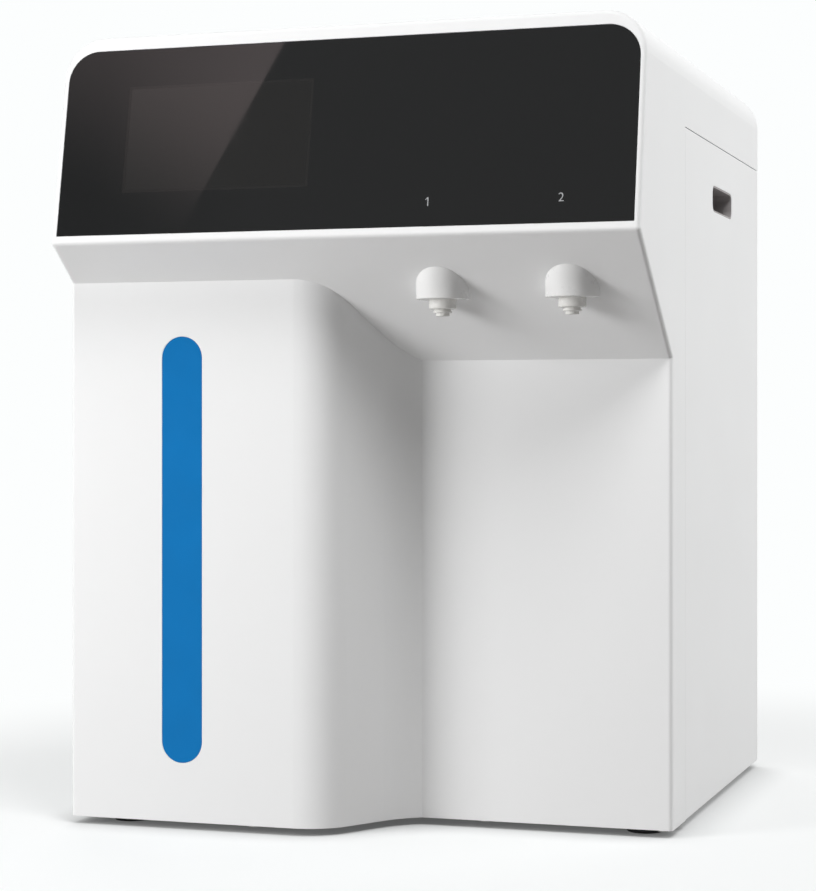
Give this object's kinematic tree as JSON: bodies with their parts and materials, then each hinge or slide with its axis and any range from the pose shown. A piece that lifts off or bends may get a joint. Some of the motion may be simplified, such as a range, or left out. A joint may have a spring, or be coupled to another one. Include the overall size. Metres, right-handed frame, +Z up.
{
  "type": "laboratory water purifier",
  "caption": "Bench-top water purifier with a leaning touch panel, dispensing outlets over a recess, a front bulge, drop-down side doors and filter cartridges inside.",
  "frame": {"origin": "centre of the bounding box's bottom, on the bench under the feet", "axes": "-Y towards the user's side with the control face, +X to the right seen from there, +Z up"},
  "size_m": [0.4, 0.4431, 0.53],
  "materials": {
    "housing_white": "satin, fine moulded grain",
    "tinted_glass": "polished black tinted panel",
    "display_dark": "dark display",
    "circuit_green": "solder mask",
    "strip_blue": "satin blue",
    "outlet_white": "glossy white",
    "fitting_white": "acetal",
    "dark_grey_plastic": "fine grain",
    "black_plastic": "fine grain",
    "steel_white": "powder coat",
    "zinc_steel": "zinc plated",
    "stainless": "brushed",
    "rubber_black": "matte",
    "hose_white": "milky tube",
    "cartridge_white": "smooth",
    "membrane_white": "smooth",
    "copper_coil": "potted coil",
    "aluminium_case": "bead blasted"
  },
  "bodies": {
    "cabinet": {"main_housing": "housing_white", "control_glass": "tinted_glass", "display_module": "display_dark", "touch_board": "circuit_green", "accent_strip": "strip_blue", "outlet_cap_1": "outlet_white", "outlet_fitting_1": "fitting_white", "outlet_cap_2": "outlet_white", "outlet_fitting_2": "fitting_white", "outlet_nuts": "zinc_steel", "door_magnets": "black_plastic", "door_hinge_pins": "stainless", "rear_panel": "steel_white", "rear_screws": "stainless", "fan_frame": "black_plastic", "power_inlet": "black_plastic", "rear_port_feed": "fitting_white", "rear_port_tank": "fitting_white", "rear_port_drain": "fitting_white", "base_plate": "zinc_steel", "rubber_feet": "rubber_black", "base_screws": "stainless", "chassis_plate": "zinc_steel", "electronics_shelf": "zinc_steel", "power_supply": "aluminium_case", "main_board": "circuit_green", "pretreatment_head": "dark_grey_plastic", "polishing_head": "dark_grey_plastic", "membrane_housing": "membrane_white", "uv_chamber": "stainless", "column_clips": "fitting_white", "pump_bracket": "zinc_steel", "pump_grommets": "rubber_black", "pump_motor_can": "steel_white", "pump_head": "dark_grey_plastic", "valve_bodies": "fitting_white", "valve_coils": "copper_coil", "valve_springs": "stainless", "feed_hoses": "hose_white", "product_hoses": "hose_white"},
    "door_left": {"side_door_left": "housing_white", "finger_cup_left": "dark_grey_plastic"},
    "door_right": {"side_door_right": "housing_white", "finger_cup_right": "dark_grey_plastic"},
    "outlet_collet_1": {"outlet_collet_1": "fitting_white"},
    "outlet_collet_2": {"outlet_collet_2": "fitting_white"},
    "fan_rotor": {"fan_rotor": "black_plastic"},
    "pump_rotor": {"pump_rotor": "stainless"},
    "power_rocker": {"power_rocker": "black_plastic"},
    "fuse_drawer": {"fuse_drawer": "black_plastic"},
    "rear_collet_feed": {"rear_collet_feed": "dark_grey_plastic"},
    "rear_collet_tank": {"rear_collet_tank": "dark_grey_plastic"},
    "rear_collet_drain": {"rear_collet_drain": "dark_grey_plastic"},
    "pretreatment_cartridge_1": {"pretreatment_cartridge_1": "cartridge_white"},
    "pretreatment_cartridge_2": {"pretreatment_cartridge_2": "cartridge_white"},
    "polishing_cartridge_1": {"polishing_cartridge_1": "cartridge_white"},
    "polishing_cartridge_2": {"polishing_cartridge_2": "cartridge_white"},
    "valve_plunger_feed": {"valve_plunger_feed": "stainless"},
    "valve_plunger_dispense_1": {"valve_plunger_dispense_1": "stainless"},
    "valve_plunger_dispense_2": {"valve_plunger_dispense_2": "stainless"}
  },
  "joints": [
    {"name": "door_left_tilt", "type": "hinge", "parent": "cabinet", "child": "door_left", "pos_m": [-0.1968, 0.06249, 0.0084], "axis": [0, -1, 0], "range_deg": [0, 75]},
    {"name": "door_right_tilt", "type": "hinge", "parent": "cabinet", "child": "door_right", "pos_m": [0.1968, 0.06249, 0.0084], "axis": [0, 1, 0], "range_deg": [0, 75]},
    {"name": "outlet_collet_1_press", "type": "slide", "parent": "cabinet", "child": "outlet_collet_1", "axis": [0, 0, 1], "range_m": [0, 0.0012], "stiffness_N_per_m": 300},
    {"name": "outlet_collet_2_press", "type": "slide", "parent": "cabinet", "child": "outlet_collet_2", "axis": [0, 0, 1], "range_m": [0, 0.0012], "stiffness_N_per_m": 300},
    {"name": "rear_collet_feed_press", "type": "slide", "parent": "cabinet", "child": "rear_collet_feed", "axis": [0, -1, 0], "range_m": [0, 0.0012], "stiffness_N_per_m": 300},
    {"name": "rear_collet_tank_press", "type": "slide", "parent": "cabinet", "child": "rear_collet_tank", "axis": [0, -1, 0], "range_m": [0, 0.0012], "stiffness_N_per_m": 300},
    {"name": "rear_collet_drain_press", "type": "slide", "parent": "cabinet", "child": "rear_collet_drain", "axis": [0, -1, 0], "range_m": [0, 0.0012], "stiffness_N_per_m": 300},
    {"name": "fan_spin", "type": "hinge", "parent": "cabinet", "child": "fan_rotor", "pos_m": [-0.12, 0.1988, 0.492], "axis": [0, 1, 0], "continuous": true},
    {"name": "pump_spin", "type": "hinge", "parent": "cabinet", "child": "pump_rotor", "pos_m": [-0.141, -0.1297, 0.062], "axis": [1, 0, 0], "continuous": true},
    {"name": "power_rocker_tip", "type": "hinge", "parent": "cabinet", "child": "power_rocker", "pos_m": [0.14, 0.2058, 0.0845], "axis": [1, 0, 0], "range_deg": [0, 24]},
    {"name": "fuse_drawer_pull", "type": "slide", "parent": "cabinet", "child": "fuse_drawer", "axis": [0, 1, 0], "range_m": [0, 0.014]},
    {"name": "pretreatment_cartridge_1_twist", "type": "hinge", "parent": "cabinet", "child": "pretreatment_cartridge_1", "pos_m": [-0.135, -0.0317, 0.095], "axis": [0, 0, 1], "range_deg": [0, 90]},
    {"name": "pretreatment_cartridge_2_twist", "type": "hinge", "parent": "cabinet", "child": "pretreatment_cartridge_2", "pos_m": [-0.135, 0.0583, 0.095], "axis": [0, 0, 1], "range_deg": [0, 90]},
    {"name": "polishing_cartridge_1_twist", "type": "hinge", "parent": "cabinet", "child": "polishing_cartridge_1", "pos_m": [0.13, -0.0317, 0.095], "axis": [0, 0, 1], "range_deg": [0, 90]},
    {"name": "polishing_cartridge_2_twist", "type": "hinge", "parent": "cabinet", "child": "polishing_cartridge_2", "pos_m": [0.13, 0.0583, 0.095], "axis": [0, 0, 1], "range_deg": [0, 90]},
    {"name": "valve_plunger_feed_lift", "type": "slide", "parent": "cabinet", "child": "valve_plunger_feed", "axis": [0, 0, 1], "range_m": [0, 0.0025], "stiffness_N_per_m": 400, "deforming": ["valve_springs"]},
    {"name": "valve_plunger_dispense_1_lift", "type": "slide", "parent": "cabinet", "child": "valve_plunger_dispense_1", "axis": [0, 0, 1], "range_m": [0, 0.0025], "stiffness_N_per_m": 400, "deforming": ["valve_springs"]},
    {"name": "valve_plunger_dispense_2_lift", "type": "slide", "parent": "cabinet", "child": "valve_plunger_dispense_2", "axis": [0, 0, 1], "range_m": [0, 0.0025], "stiffness_N_per_m": 400, "deforming": ["valve_springs"]}
  ]
}
